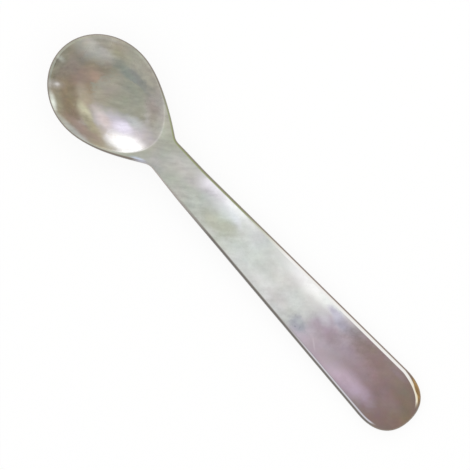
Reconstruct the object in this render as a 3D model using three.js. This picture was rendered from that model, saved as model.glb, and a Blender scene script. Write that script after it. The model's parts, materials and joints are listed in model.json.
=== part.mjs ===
// Mother-of-pearl spoon: sawn from one gold-lipped shell, hollowed, ground and polished.
// Millimetres. +X runs from the bowl's tip to the handle's end, +Y across and +Z up.
// The spoon lies as on a table, on the underside of its bowl and the end of its handle.
// The origin is on the table, under the middle of the spoon's box.

import * as THREE from "three";
import { mergeVertices } from "three/addons/utils/BufferGeometryUtils.js";

const { lerp, mapLinear, smoothstep, degToRad } = THREE.MathUtils;

// Outline in plan, on the flat top face
const LENGTH = 120;
const BOWL_WIDTH = 25;
const BOWL_WIDEST_FROM_TIP = 14;
const NECK_FROM_TIP = 34;
const NECK_WIDTH = 8.45;
const NECK_FILLET = 1.1;
const SHOULDER_ANGLE = degToRad(32.5);
const HANDLE_WIDTH = 15.6;
const HANDLE_END_ROUND = 9.5;
const NECK_SWAY = 0.3; // to one side of the middle line, as on a spoon that was sawn by eye
const SWAY_RUN = 12; // along the spoon, from the neck to where it is back on that line

// Hollow of the bowl
const RIM_WIDTH = 0.85;
const NECK_LAND = 3; // flat face between the hollow and the neck
const HOLLOW_DEPTH = 5;
const HOLLOW_BACK_FROM_TIP = NECK_FROM_TIP - NECK_LAND;

// Thickness, from the top face down
const BOWL_WALL = 1.4;
const RIM_THICKNESS = 1.4;
const NECK_THICKNESS = 2.8;
const HANDLE_END_THICKNESS = 2.1;
const KEEL_RUN = 27; // from the widest part of the bowl to where the handle's back turns flat

// Half-round edges: how far the rounding reaches in from the outline
const RIM_ROUND = 0.4;
const HANDLE_ROUND = 0.9;

// Golden outer layer of the shell, left along one corner of the handle's end
const GOLD_SHARE = 0.8; // of the rounded end's curve, from its corner, that the layer takes
const GOLD_INSET = 2.4; // in from the edge's bottom line, on the handle's back
const GOLD_ROUND = 1.35; // the edge is ground further over where the layer is thickest
const GOLD_TOP = degToRad(12); // how far round the edge, from its top, the layer climbs
const PLAIN_SEAM = degToRad(120); // the same angle where there is no golden layer

// Shares of a curve's run that its handles take
const SHOULDER_FULLNESS = 0.325;
const HOLLOW_FULLNESS = 0.52;
const END_FULLNESS = 0.66;

// Facets
const FRONT_ROWS = 14;
const SHOULDER_ROWS = 15;
const FILLET_ROWS = 4;
const SHAFT_ROWS = 7;
const GOLD_ROWS = 14;
const END_ROWS = 4;
const HOLLOW_COLUMNS = 8;
const EDGE_COLUMNS = 4;
const BACK_COLUMNS = 14;
const MERGE_DISTANCE = 1e-3;

const plan = (x, y) => new THREE.Vector2(x, y);
const along = (from, way, distance) => from.clone().addScaledVector(way, distance);

// One side of the outline, from the bowl's tip to the handle's end, stretch by stretch.
// The hollow's edge runs beside the first two stretches.
function outlineStretches() {
  const widest = plan(BOWL_WIDEST_FROM_TIP, BOWL_WIDTH / 2);
  const neck = plan(NECK_FROM_TIP, NECK_WIDTH / 2);
  const corner = plan(LENGTH - HANDLE_END_ROUND, HANDLE_WIDTH / 2);
  const shoulderWay = plan(Math.cos(SHOULDER_ANGLE), -Math.sin(SHOULDER_ANGLE));
  const handleWay = corner.clone().sub(neck).normalize();

  const shoulderPull = SHOULDER_FULLNESS * (neck.x - widest.x);
  const shoulderEnd = along(neck, shoulderWay, -NECK_FILLET);
  const shaftStart = along(neck, handleWay, NECK_FILLET);

  const front = new THREE.EllipseCurve(
    widest.x, 0, widest.x, widest.y, Math.PI, Math.PI / 2, true,
  );
  const shoulder = new THREE.CubicBezierCurve(
    widest,
    plan(widest.x + shoulderPull, widest.y),
    along(shoulderEnd, shoulderWay, -shoulderPull),
    shoulderEnd,
  );
  const end = new THREE.CubicBezierCurve(
    corner,
    along(corner, handleWay, END_FULLNESS * HANDLE_END_ROUND),
    plan(LENGTH, END_FULLNESS * corner.y),
    plan(LENGTH, 0),
  );
  const [hollowFront, hollowBack] = hollowStretches();
  return [
    { curve: front, rows: FRONT_ROWS, hollow: hollowFront },
    { curve: shoulder, rows: SHOULDER_ROWS, hollow: hollowBack },
    { curve: new THREE.QuadraticBezierCurve(shoulderEnd, neck, shaftStart), rows: FILLET_ROWS },
    { curve: new THREE.LineCurve(shaftStart, corner), rows: SHAFT_ROWS },
    { curve: end, to: GOLD_SHARE, rows: GOLD_ROWS, golden: true },
    { curve: end, from: GOLD_SHARE, rows: END_ROWS },
  ];
}

// One side of the hollow's edge: half an egg, blunt towards the neck.
function hollowStretches() {
  const widest = plan(BOWL_WIDEST_FROM_TIP, BOWL_WIDTH / 2 - RIM_WIDTH);
  const back = plan(HOLLOW_BACK_FROM_TIP, 0);
  return [
    new THREE.EllipseCurve(
      widest.x, 0, widest.x - RIM_WIDTH, widest.y, Math.PI, Math.PI / 2, true,
    ),
    new THREE.CubicBezierCurve(
      widest,
      plan(lerp(widest.x, back.x, HOLLOW_FULLNESS), widest.y),
      plan(back.x, HOLLOW_FULLNESS * widest.y),
      back,
    ),
  ];
}

// Depth of the hollow's floor below the rim: a bowl-shaped curve both along and across.
function hollowDepth(x, across) {
  const fromDeepest = x - BOWL_WIDEST_FROM_TIP;
  const reach =
    fromDeepest < 0 ? BOWL_WIDEST_FROM_TIP - RIM_WIDTH : HOLLOW_BACK_FROM_TIP - BOWL_WIDEST_FROM_TIP;
  return HOLLOW_DEPTH * (1 - (fromDeepest / reach) ** 2) * (1 - across ** 2);
}

// How far a section has changed from bowl to handle.
const handleShare = (x) => smoothstep(x, BOWL_WIDEST_FROM_TIP, BOWL_WIDEST_FROM_TIP + KEEL_RUN);

const handleThickness = (x) =>
  mapLinear(x, NECK_FROM_TIP, LENGTH, NECK_THICKNESS, HANDLE_END_THICKNESS);

const edgeThickness = (x) => lerp(RIM_THICKNESS, handleThickness(x), handleShare(x));

// Depth of the back along the middle of the spoon.
function keelDepth(x) {
  const fullest = HOLLOW_DEPTH + BOWL_WALL;
  const beforeWidest = Math.max(0, 1 - x / BOWL_WIDEST_FROM_TIP);
  const bowl = lerp(fullest, RIM_THICKNESS, beforeWidest ** 2);
  return lerp(bowl, handleThickness(x), handleShare(x));
}

// The back sags from its edges, where across is 1 or -1, to the keel in the middle.
const backDepth = (x, across) => lerp(keelDepth(x), edgeThickness(x), across ** 2);

// Stations along the outline, each with its outward direction, its point on the hollow's edge
// and the golden layer's share of its full size there.
function outlineStations() {
  const stations = [];
  let distance = 0;
  for (const { curve, from = 0, to = 1, rows, hollow, golden } of outlineStretches()) {
    if (golden) stations.at(-1).golden = true;
    for (let row = stations.length ? 1 : 0; row <= rows; row++) {
      const share = lerp(from, to, row / rows);
      const point = curve.getPoint(share);
      const way = curve.getTangent(share);
      const outward = plan(-way.y, way.x);
      if (stations.length) distance += point.distanceTo(stations.at(-1).point);
      stations.push({ point, outward, distance, golden, edgeOfHollow: hollow?.getPoint(share) });
    }
  }
  stations[0].outward.set(-1, 0);
  stations.at(-1).outward.set(1, 0);

  const golden = stations.filter((station) => station.golden);
  const goldFrom = golden[0].distance;
  const goldTo = golden.at(-1).distance;
  for (const station of stations) station.gold = 0;
  for (const station of golden.slice(1, -1)) {
    station.gold = Math.sin((Math.PI * (station.distance - goldFrom)) / (goldTo - goldFrom));
  }
  return stations;
}

// Points round the half-round edge at a station, from one angle to another: 0 is its top line,
// on the flat face, and 180 degrees its bottom line, on the back. Side is 1 at +Y and -1 at -Y.
function edgePoints(station, side, round, fromAngle, toAngle) {
  const bottomX = station.point.x - round * station.outward.x;
  const halfThickness = edgeThickness(bottomX) / 2;
  return Array.from({ length: EDGE_COLUMNS + 1 }, (_, column) => {
    const angle = lerp(fromAngle, toAngle, column / EDGE_COLUMNS);
    const inset = round * (1 - Math.sin(angle));
    const { x, y } = along(station.point, station.outward, -inset);
    return new THREE.Vector3(x, side * y, -halfThickness * (1 - Math.cos(angle)));
  });
}

// One edge of a section: its upper part, the outside of its lower part, and the seam that the
// nacre keeps there. Seam and outside are the same where there is no golden layer between them.
function edge(station, side) {
  const gold = side > 0 ? station.gold : 0;
  const plainRound = lerp(RIM_ROUND, HANDLE_ROUND, handleShare(station.point.x));
  const round = lerp(plainRound, GOLD_ROUND, gold);
  const seamAngle = lerp(PLAIN_SEAM, GOLD_TOP, gold);
  const upper = edgePoints(station, side, round, 0, seamAngle);
  const outside = edgePoints(station, side, round, seamAngle, Math.PI);

  const inward = new THREE.Vector3(-station.outward.x, -side * station.outward.y, 0);
  const back = along(outside.at(-1), inward, gold * GOLD_INSET);
  back.z = -backDepth(back.x, 1);
  const seam = outside.map((point, column) => {
    const straight = outside[0].clone().lerp(back, column / EDGE_COLUMNS);
    return point.clone().lerp(straight, Math.sqrt(gold));
  });
  return { upper, outside, seam };
}

// Points across the top from the middle line out to one edge: the hollow's floor up to its
// rim, or the flat face beyond it.
function topPoints(station, side, edgeTop) {
  const hollow = station.edgeOfHollow;
  return Array.from({ length: HOLLOW_COLUMNS + 1 }, (_, column) => {
    const across = column / HOLLOW_COLUMNS;
    if (!hollow) {
      const share = column / (HOLLOW_COLUMNS + 1);
      return new THREE.Vector3(edgeTop.x, share * edgeTop.y, 0);
    }
    return new THREE.Vector3(hollow.x, side * across * hollow.y, -hollowDepth(hollow.x, across));
  });
}

const sway = (x) => NECK_SWAY * (1 - smoothstep(Math.abs(x - NECK_FROM_TIP), 0, SWAY_RUN));

// The nacre's section at a station: over the top to +Y, round that edge, along the back to -Y
// and round the other edge to the middle of the top again.
function nacreSection(station) {
  const right = edge(station, 1);
  const left = edge(station, -1);
  const backStart = right.seam.at(-1);
  const backEnd = left.seam.at(-1);
  const back = Array.from({ length: BACK_COLUMNS - 1 }, (_, column) => {
    const share = (column + 1) / BACK_COLUMNS;
    const point = backStart.clone().lerp(backEnd, share);
    point.z = -backDepth(point.x, 1 - 2 * share);
    return point;
  });
  return [
    ...topPoints(station, 1, right.upper[0]),
    ...right.upper,
    ...right.seam.slice(1),
    ...back,
    ...left.seam.slice(1).reverse(),
    ...left.upper.reverse(),
    ...topPoints(station, -1, left.upper.at(-1)).slice(1).reverse(),
  ].map(({ x, y, z }) => new THREE.Vector3(x, y + sway(x), z));
}

// The golden layer's section: down the outside of the edge and back along the nacre's seam.
function goldSection(station) {
  const { outside, seam } = edge(station, 1);
  return [...outside, ...seam.slice(1).reverse()];
}

// A closed skin through rings of points. Quads split along their shorter diagonal, so two skins
// that share a run of points meet face to face there.
function loft(rings) {
  const size = rings[0].length;
  const points = rings.flat();
  const triangles = [];
  for (let ring = 0; ring + 1 < rings.length; ring++) {
    for (let column = 0; column < size; column++) {
      const next = (column + 1) % size;
      const a = ring * size + column;
      const b = a + size;
      const c = (ring + 1) * size + next;
      const d = ring * size + next;
      const alongFirst = points[a].distanceTo(points[c]) < points[b].distanceTo(points[d]);
      triangles.push(...(alongFirst ? [a, b, c, a, c, d] : [a, b, d, b, c, d]));
    }
  }
  const skin = new THREE.BufferGeometry().setFromPoints(points);
  skin.setIndex(triangles);
  return withoutEmptyTriangles(mergeVertices(skin, MERGE_DISTANCE));
}

function withoutEmptyTriangles(skin) {
  const corners = Array.from(skin.index.array);
  const kept = [];
  for (let i = 0; i < corners.length; i += 3) {
    const triangle = corners.slice(i, i + 3);
    if (new Set(triangle).size === 3) kept.push(...triangle);
  }
  skin.setIndex(kept);
  skin.computeVertexNormals();
  return skin;
}

function namedMesh(name, skin, finish) {
  const mesh = new THREE.Mesh(skin, new THREE.MeshStandardMaterial(finish));
  mesh.name = name;
  return mesh;
}

// How far the spoon tips about Y until the end of its handle is as low as its bowl.
function restingTilt(skin) {
  const corners = skin.getAttribute("position");
  const points = Array.from({ length: corners.count }, (_, i) =>
    new THREE.Vector3().fromBufferAttribute(corners, i),
  );
  const bowl = points.filter((point) => point.x < NECK_FROM_TIP);
  const handle = points.filter((point) => point.x > NECK_FROM_TIP);
  let tilt = 0;
  let before;
  do {
    before = tilt;
    const height = (point) => point.z * Math.cos(before) - point.x * Math.sin(before);
    const lowest = (some) => some.reduce((a, b) => (height(b) < height(a) ? b : a));
    const bowlFoot = lowest(bowl);
    const handleFoot = lowest(handle);
    tilt = Math.atan2(handleFoot.z - bowlFoot.z, handleFoot.x - bowlFoot.x);
  } while (tilt !== before);
  return tilt;
}

const stations = outlineStations();
const goldenStations = stations.filter((station) => station.golden);

const nacreBody = namedMesh("nacre_body", loft(stations.map(nacreSection)), {
  color: 0xc4c2b8,
  roughness: 0.22,
  metalness: 0,
});
const goldenOuterLayer = namedMesh("golden_outer_layer", loft(goldenStations.map(goldSection)), {
  color: 0x94712e,
  roughness: 0.3,
  metalness: 0,
});

const lying = new THREE.Group();
lying.add(nacreBody, goldenOuterLayer);
lying.rotation.y = restingTilt(nacreBody.geometry);

const box = new THREE.Box3().setFromObject(lying, true);
lying.position.set(-(box.min.x + box.max.x) / 2, -(box.min.y + box.max.y) / 2, -box.min.z);

const spoon = new THREE.Group();
spoon.add(lying);

export default spoon;
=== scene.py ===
import json
import math

import bpy
from mathutils import Matrix, Vector


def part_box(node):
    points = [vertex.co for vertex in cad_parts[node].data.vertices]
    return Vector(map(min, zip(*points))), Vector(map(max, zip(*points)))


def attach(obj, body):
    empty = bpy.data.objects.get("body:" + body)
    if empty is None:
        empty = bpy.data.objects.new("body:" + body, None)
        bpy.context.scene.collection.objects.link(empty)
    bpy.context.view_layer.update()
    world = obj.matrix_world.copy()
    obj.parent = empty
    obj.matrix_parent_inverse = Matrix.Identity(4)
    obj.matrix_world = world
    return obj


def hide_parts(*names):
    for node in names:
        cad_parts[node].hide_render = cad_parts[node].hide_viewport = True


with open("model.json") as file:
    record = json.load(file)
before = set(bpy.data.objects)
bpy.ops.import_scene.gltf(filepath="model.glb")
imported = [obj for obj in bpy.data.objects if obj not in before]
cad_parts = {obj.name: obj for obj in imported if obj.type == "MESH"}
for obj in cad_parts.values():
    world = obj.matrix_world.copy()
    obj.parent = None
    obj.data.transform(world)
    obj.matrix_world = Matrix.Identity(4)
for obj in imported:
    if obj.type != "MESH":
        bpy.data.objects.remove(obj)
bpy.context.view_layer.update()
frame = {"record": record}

# Nacre body: bowl, neck and handle in one piece of pearl-oyster shell.
# It was sawn to its outline, hollowed, ground to a keeled back and half-round edges, and polished.
# Its skin is lofted between guide curves, row by row from the bowl's tip to the handle's end.
MM = 0.001

LENGTH = 120 * MM
BOWL_WIDTH = 25 * MM
BOWL_WIDEST_FROM_TIP = 14 * MM
NECK_FROM_TIP = 34 * MM
NECK_WIDTH = 8.45 * MM
NECK_FILLET = 1.1 * MM
SHOULDER_ANGLE = math.radians(32.5)
HANDLE_WIDTH = 15.6 * MM
HANDLE_END_ROUND = 9.5 * MM
RIM_WIDTH = 0.85 * MM
HOLLOW_BACK_FROM_TIP = 31 * MM
HOLLOW_DEPTH = 5 * MM
BOWL_WALL = 1.4 * MM
RIM_THICKNESS = 1.4 * MM
NECK_THICKNESS = 2.8 * MM
HANDLE_END_THICKNESS = 2.1 * MM
KEEL_RUN = 27 * MM

# Shares of a curve's run that its handles take
QUARTER_ROUND = 0.5523
SHOULDER_FULLNESS = 0.325
HOLLOW_FULLNESS = 0.52
END_FULLNESS = 0.66

# Rows along the spoon, and columns round half of a section
BOWL_ROWS = 180
HANDLE_ROWS = 220
GOLD_FIRST_ROW = 186  # of the handle's rows, at the corner of its end
GOLD_LAST_ROW = 213
TOP_COLUMNS = 40
RIM_COLUMNS = 6
EDGE_COLUMNS = 10
SEAM_COLUMNS = 10
BACK_COLUMNS = 32


def guide_curve(name, corners):
    """A flat curve object through corners, each with the way to its handle before and after it."""
    curve = bpy.data.curves.new(name, "CURVE")
    curve.dimensions = "3D"
    curve.resolution_u = 64
    spline = curve.splines.new("BEZIER")
    spline.bezier_points.add(len(corners) - 1)
    for bezier, (point, before, after) in zip(spline.bezier_points, corners):
        bezier.handle_left_type = "FREE"
        bezier.handle_right_type = "FREE"
        bezier.co = point.to_3d()
        bezier.handle_left = (point + before).to_3d()
        bezier.handle_right = (point + after).to_3d()
    guide = bpy.data.objects.new(name, curve)
    bpy.context.collection.objects.link(guide)
    return guide


def add(tree, kind, inputs=(), stops=(), **settings):
    """Adds a node with its settings. Inputs are values, sockets or nodes, by place or by name."""
    node = tree.nodes.new(kind)
    for name, value in settings.items():
        setattr(node, name, value)
    for number, (place, shade) in enumerate(stops):
        ramp = node.color_ramp.elements
        element = ramp[number] if number < len(ramp) else ramp.new(1.0)
        element.position = place
        element.color = shade
    shown = [socket for socket in node.inputs if socket.enabled]
    for key, value in inputs.items() if isinstance(inputs, dict) else enumerate(inputs):
        socket = shown[key] if isinstance(key, int) else next(s for s in shown if s.name == key)
        if isinstance(value, bpy.types.Node):
            value = next(output for output in value.outputs if output.enabled)
        if isinstance(value, bpy.types.NodeSocket):
            tree.links.new(value, socket)
        else:
            socket.default_value = value
    return node


def new_tree(name, inputs, outputs):
    """A Geometry Nodes tree and its input sockets. An input has a size, or a kind with none."""
    tree = bpy.data.node_groups.new(name, "GeometryNodeTree")
    for label, size in inputs.items():
        kind = size if isinstance(size, str) else "Float"
        socket = tree.interface.new_socket(label, in_out="INPUT", socket_type="NodeSocket" + kind)
        if not isinstance(size, str):
            socket.default_value = size
    for label, kind in outputs.items():
        tree.interface.new_socket(label, in_out="OUTPUT", socket_type="NodeSocket" + kind)
    return tree, add(tree, "NodeGroupInput").outputs


def grown(name, tree, values):
    """A plain mesh object grown by a Geometry Nodes tree with these values for its inputs."""
    piece = bpy.data.objects.new(name, bpy.data.meshes.new(name))
    bpy.context.collection.objects.link(piece)
    modifier = piece.modifiers.new(name, "NODES")
    modifier.node_group = tree
    for socket in tree.interface.items_tree:
        if socket.in_out == "INPUT":
            modifier[socket.identifier] = values.get(socket.name, getattr(socket, "default_value", None))
    depsgraph = bpy.context.evaluated_depsgraph_get()
    mesh = bpy.data.meshes.new_from_object(piece.evaluated_get(depsgraph), depsgraph=depsgraph)
    piece.modifiers.remove(modifier)
    piece.data = mesh
    return piece


def stretches(tree, value, counts, start):
    """How far each stretch of columns is run through, from 0 to 1, as value rises from start by 1."""
    shares = []
    columns_before = 0
    for columns in counts:
        from_share = columns_before / sum(counts) + start
        columns_before += columns
        to_share = columns_before / sum(counts) + start
        shares.append(add(tree, "ShaderNodeMapRange", [value, from_share, to_share, 0.0, 1.0]))
    return shares


nothing = Vector((0, 0))
tip = Vector((0, 0))
widest = Vector((BOWL_WIDEST_FROM_TIP, BOWL_WIDTH / 2))
neck = Vector((NECK_FROM_TIP, NECK_WIDTH / 2))
corner = Vector((LENGTH - HANDLE_END_ROUND, HANDLE_WIDTH / 2))
end = Vector((LENGTH, 0))
shoulder_way = Vector((math.cos(SHOULDER_ANGLE), -math.sin(SHOULDER_ANGLE)))
handle_way = (corner - neck).normalized()
shoulder_pull = SHOULDER_FULLNESS * (neck.x - widest.x)
shoulder_end = neck - NECK_FILLET * shoulder_way
shaft_start = neck + NECK_FILLET * handle_way
shaft = corner - shaft_start

bowl_side = guide_curve("bowl_side", [
    (tip, nothing, Vector((0, QUARTER_ROUND * widest.y))),
    (widest, Vector((-QUARTER_ROUND * widest.x, 0)), Vector((shoulder_pull, 0))),
    (shoulder_end, -shoulder_pull * shoulder_way, nothing),
])
handle_side = guide_curve("handle_side", [
    (shoulder_end, nothing, 2 / 3 * NECK_FILLET * shoulder_way),
    (shaft_start, -2 / 3 * NECK_FILLET * handle_way, shaft / 3),
    (corner, -shaft / 3, END_FULLNESS * HANDLE_END_ROUND * handle_way),
    (end, Vector((0, END_FULLNESS * corner.y)), nothing),
])

hollow_front = tip + Vector((RIM_WIDTH, 0))
hollow_widest = widest - Vector((0, RIM_WIDTH))
hollow_back = Vector((HOLLOW_BACK_FROM_TIP, 0))
front_reach = hollow_widest.x - hollow_front.x
back_reach = hollow_back.x - hollow_widest.x
hollow_edge = guide_curve("hollow_edge", [
    (hollow_front, nothing, Vector((0, QUARTER_ROUND * hollow_widest.y))),
    (
        hollow_widest,
        Vector((-QUARTER_ROUND * front_reach, 0)),
        Vector((HOLLOW_FULLNESS * back_reach, 0)),
    ),
    (hollow_back, Vector((0, HOLLOW_FULLNESS * hollow_widest.y)), nothing),
])

# Thickness at a distance from the tip, at the spoon's edges and along its keel
depths, given = new_tree(
    "spoon_thickness",
    {
        "From tip": "Float",
        "Bowl widest from tip": BOWL_WIDEST_FROM_TIP,
        "Keel end from tip": BOWL_WIDEST_FROM_TIP + KEEL_RUN,
        "Neck from tip": NECK_FROM_TIP,
        "Length": LENGTH,
        "Bowl thickness": HOLLOW_DEPTH + BOWL_WALL,
        "Rim thickness": RIM_THICKNESS,
        "Neck thickness": NECK_THICKNESS,
        "Handle end thickness": HANDLE_END_THICKNESS,
        "Rim round": 0.4 * MM,
        "Handle round": 0.9 * MM,
    },
    {"Edge": "Float", "Keel": "Float", "Round": "Float"},
)
share = add(
    depths,
    "ShaderNodeMapRange",
    [given["From tip"], given["Bowl widest from tip"], given["Keel end from tip"]],
    interpolation_type="SMOOTHSTEP",
)
blade = add(
    depths,
    "ShaderNodeMapRange",
    {
        "Value": given["From tip"],
        "From Min": given["Neck from tip"],
        "From Max": given["Length"],
        "To Min": given["Neck thickness"],
        "To Max": given["Handle end thickness"],
    },
    clamp=False,
)
edge = add(depths, "ShaderNodeMix", [share, given["Rim thickness"], blade])
before = add(
    depths, "ShaderNodeMapRange", [given["From tip"], 0.0, given["Bowl widest from tip"], 1.0, 0.0]
)
before_squared = add(depths, "ShaderNodeMath", [before, before], operation="MULTIPLY")
bowl_keel = add(depths, "ShaderNodeMix", [before_squared, given["Bowl thickness"], given["Rim thickness"]])
keel = add(depths, "ShaderNodeMix", [share, bowl_keel, blade])
rounding = add(depths, "ShaderNodeMix", [share, given["Rim round"], given["Handle round"]])
add(depths, "NodeGroupOutput", {"Edge": edge, "Keel": keel, "Round": rounding})

# A point on a half-round edge: angle 0 is its top line, on the flat face, and pi its bottom line
half_round, given = new_tree(
    "half_round_edge",
    {"Outline": "Vector", "Outward": "Vector", "Round": "Float", "Thickness": "Float", "Angle": "Float"},
    {"Point": "Vector"},
)
sine = add(half_round, "ShaderNodeMath", [given["Angle"]], operation="SINE")
cosine = add(half_round, "ShaderNodeMath", [given["Angle"]], operation="COSINE")
drawn_in = add(half_round, "ShaderNodeMath", [sine, 1.0], operation="SUBTRACT")
inset = add(half_round, "ShaderNodeMath", [given["Round"], drawn_in], operation="MULTIPLY")
inward = add(half_round, "ShaderNodeVectorMath", [given["Outward"]], operation="SCALE")
half_round.links.new(inset.outputs[0], inward.inputs["Scale"])
fall = add(half_round, "ShaderNodeMath", [cosine, 1.0], operation="SUBTRACT")
half_fall = add(half_round, "ShaderNodeMath", [fall, 0.5], operation="MULTIPLY")
drop = add(half_round, "ShaderNodeMath", [given["Thickness"], half_fall], operation="MULTIPLY")
lowered = add(half_round, "ShaderNodeCombineXYZ", {"Z": drop})
in_plan = add(half_round, "ShaderNodeVectorMath", [given["Outline"], inward])
point = add(half_round, "ShaderNodeVectorMath", [in_plan, lowered])
add(half_round, "NodeGroupOutput", {"Point": point})

# The edge beside the golden layer: how far it is rounded, where the nacre's upper edge stops,
# and where the golden layer's foot lies on the back. Gold is the layer's share of its full size.
layer_edge, given = new_tree(
    "layer_edge",
    {
        "Outline": "Vector",
        "Outward": "Vector",
        "Gold": "Float",
        "Gold round": 1.35 * MM,
        "Gold inset": 2.4 * MM,
        "Gold top": math.radians(12),
        "Plain seam": math.radians(120),
    },
    {
        "Round": "Float",
        "Thickness": "Float",
        "Seam angle": "Float",
        "Seam top": "Vector",
        "Bottom": "Vector",
        "Foot": "Vector",
    },
)
from_tip = add(layer_edge, "ShaderNodeSeparateXYZ", [given["Outline"]])
here = add(layer_edge, "GeometryNodeGroup", {"From tip": from_tip}, node_tree=depths)
gold_round = add(
    layer_edge, "ShaderNodeMix", [given["Gold"], here.outputs["Round"], given["Gold round"]]
)
inward = add(layer_edge, "ShaderNodeVectorMath", [given["Outward"]], operation="SCALE")
layer_edge.links.new(gold_round.outputs[0], inward.inputs["Scale"])
bottom_line = add(layer_edge, "ShaderNodeVectorMath", [given["Outline"], inward], operation="SUBTRACT")
bottom_from_tip = add(layer_edge, "ShaderNodeSeparateXYZ", [bottom_line])
below = add(layer_edge, "GeometryNodeGroup", {"From tip": bottom_from_tip}, node_tree=depths)
seam_angle = add(
    layer_edge, "ShaderNodeMix", [given["Gold"], given["Plain seam"], given["Gold top"]]
)
on_edge = {
    "Outline": given["Outline"],
    "Outward": given["Outward"],
    "Round": gold_round,
    "Thickness": below.outputs["Edge"],
}
seam_top = add(
    layer_edge, "GeometryNodeGroup", {**on_edge, "Angle": seam_angle}, node_tree=half_round
)
bottom = add(layer_edge, "GeometryNodeGroup", {**on_edge, "Angle": math.pi}, node_tree=half_round)
step = add(layer_edge, "ShaderNodeMath", [given["Gold"], given["Gold inset"]], operation="MULTIPLY")
stepped = add(layer_edge, "ShaderNodeVectorMath", [given["Outward"]], operation="SCALE")
layer_edge.links.new(step.outputs[0], stepped.inputs["Scale"])
foot_line = add(layer_edge, "ShaderNodeVectorMath", [bottom, stepped], operation="SUBTRACT")
foot_place = add(layer_edge, "ShaderNodeSeparateXYZ", [foot_line])
at_foot = add(layer_edge, "GeometryNodeGroup", {"From tip": foot_place}, node_tree=depths)
foot_height = add(layer_edge, "ShaderNodeMath", [at_foot.outputs["Edge"], -1.0], operation="MULTIPLY")
foot = add(
    layer_edge,
    "ShaderNodeCombineXYZ",
    [foot_place.outputs["X"], foot_place.outputs["Y"], foot_height],
)
add(
    layer_edge,
    "NodeGroupOutput",
    {
        "Round": gold_round,
        "Thickness": below.outputs["Edge"],
        "Seam angle": seam_angle,
        "Seam top": seam_top,
        "Bottom": bottom,
        "Foot": foot,
    },
)

# Slight unevenness that grinding by hand leaves on the flat faces and in the hollow
hand_ground, given = new_tree(
    "hand_ground",
    {"Skin": "Geometry", "Unevenness": 0.05 * MM, "Breadth": 14 * MM},
    {"Skin": "Geometry"},
)
place = add(hand_ground, "GeometryNodeInputPosition")
per_breadth = add(hand_ground, "ShaderNodeMath", [1.0, given["Breadth"]], operation="DIVIDE")
swell = add(hand_ground, "ShaderNodeTexNoise", {"Vector": place, "Scale": per_breadth, "Detail": 1.0})
centred = add(hand_ground, "ShaderNodeMath", [swell, 0.5], operation="SUBTRACT")
height = add(hand_ground, "ShaderNodeMath", [centred, given["Unevenness"]], operation="MULTIPLY")
lift = add(hand_ground, "ShaderNodeCombineXYZ", {"Z": height})
ground = add(hand_ground, "GeometryNodeSetPosition", {"Geometry": given["Skin"], "Offset": lift})
add(hand_ground, "NodeGroupOutput", {"Skin": ground})

# The nacre's skin: a grid whose rows run along the spoon and whose columns run from the middle
# of the top, at 0, over the rim and round both edges to the middle of the back, at 1 and -1
half_counts = (TOP_COLUMNS, RIM_COLUMNS, EDGE_COLUMNS, SEAM_COLUMNS, BACK_COLUMNS)
skin, given = new_tree(
    "nacre_skin",
    {
        "Bowl side": "Object",
        "Handle side": "Object",
        "Hollow edge": "Object",
        "Nacre": "Material",
        "Hollow widest from tip": hollow_widest.x,
        "Hollow front reach": front_reach,
        "Hollow back reach": back_reach,
        "Hollow depth": HOLLOW_DEPTH,
        "Neck from tip": NECK_FROM_TIP,
        "Neck sway": 0.3 * MM,
        "Sway run": 12 * MM,
        "Lip width": 0.45 * MM,
        "Lip dip": 0.08 * MM,
        "Ripple height": 0.16 * MM,
        "Ripples in a half": 7.5,
    },
    {"Mesh": "Geometry"},
)
grid = add(
    skin,
    "GeometryNodeMeshGrid",
    {
        "Size X": 1.0,
        "Size Y": 2.0,
        "Vertices X": BOWL_ROWS + HANDLE_ROWS + 1,
        "Vertices Y": 2 * sum(half_counts) + 1,
    },
)
place = add(skin, "ShaderNodeSeparateXYZ", [add(skin, "GeometryNodeInputPosition")])
bowl_share = BOWL_ROWS / (BOWL_ROWS + HANDLE_ROWS)
bowl_run = add(
    skin, "ShaderNodeMapRange", [place.outputs["X"], -0.5, bowl_share - 0.5, 0.0, 1.0]
)
handle_run = add(
    skin, "ShaderNodeMapRange", [place.outputs["X"], bowl_share - 0.5, 0.5, 0.0, 1.0]
)
side = add(skin, "ShaderNodeMath", [place.outputs["Y"]], operation="SIGN")
round_half = add(skin, "ShaderNodeMath", [place.outputs["Y"]], operation="ABSOLUTE")
over_top, over_rim, upper_edge, lower_edge, over_back = stretches(skin, round_half, half_counts, 0.0)
CROWDING = 1.5  # of the hollow's columns towards its edge
to_rim = add(skin, "ShaderNodeMath", [1.0, over_top], operation="SUBTRACT")
to_rim = add(skin, "ShaderNodeMath", [to_rim, CROWDING], operation="POWER")
over_top = add(skin, "ShaderNodeMath", [1.0, to_rim], operation="SUBTRACT")

guides = {}
for label, run in {"Bowl side": bowl_run, "Handle side": handle_run, "Hollow edge": bowl_run}.items():
    curve = add(skin, "GeometryNodeObjectInfo", {"Object": given[label]}).outputs["Geometry"]
    guides[label] = add(
        skin,
        "GeometryNodeSampleCurve",
        {"Curves": curve, "Factor": run},
        mode="FACTOR",
        use_all_curves=True,
    ).outputs
in_handle = add(skin, "ShaderNodeMath", [handle_run, 0.0], operation="GREATER_THAN")
outline = add(
    skin,
    "ShaderNodeMix",
    [in_handle, guides["Bowl side"]["Position"], guides["Handle side"]["Position"]],
    data_type="VECTOR",
)
way = add(
    skin,
    "ShaderNodeMix",
    [in_handle, guides["Bowl side"]["Tangent"], guides["Handle side"]["Tangent"]],
    data_type="VECTOR",
)
outward = add(skin, "ShaderNodeVectorMath", [(0, 0, 1), way], operation="CROSS_PRODUCT")

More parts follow.
